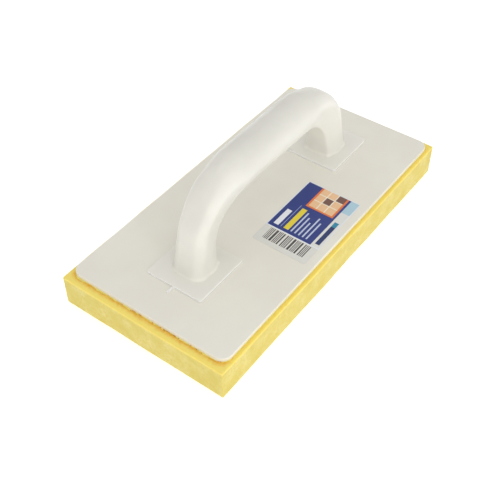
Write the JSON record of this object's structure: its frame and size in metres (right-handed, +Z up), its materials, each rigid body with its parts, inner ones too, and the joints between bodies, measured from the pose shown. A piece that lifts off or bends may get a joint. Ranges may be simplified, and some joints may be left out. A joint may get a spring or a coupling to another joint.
{
  "type": "grout float",
  "caption": "Sponge-faced float with a stiff plate and an arched two-footed handle, for washing grout off tiles.",
  "frame": {"origin": "centre of the sponge's flat working face, which is the middle of the bounding box's bottom", "axes": "+Z up from the working face to the handle, +X along the float from the end nearer the gate stub to the other end, +Y to the left side, away from the label"},
  "size_m": [0.28, 0.14, 0.103],
  "materials": {
    "sponge_foam": "open-cell foam, matt",
    "glue_film": "dried contact glue, satin",
    "plate_plastic": "satin moulded plastic",
    "handle_plastic": "milky semi-gloss moulded plastic",
    "label_film": "printed gloss film",
    "screw_steel": "zinc plated"
  },
  "bodies": {
    "root": {"sponge_pad": "sponge_foam", "sponge_adhesive": "glue_film", "backing_plate": "plate_plastic", "handle": "handle_plastic", "label_sticker": "label_film", "front_left_screw": "screw_steel", "front_right_screw": "screw_steel", "rear_left_screw": "screw_steel", "rear_right_screw": "screw_steel"}
  },
  "joints": []
}
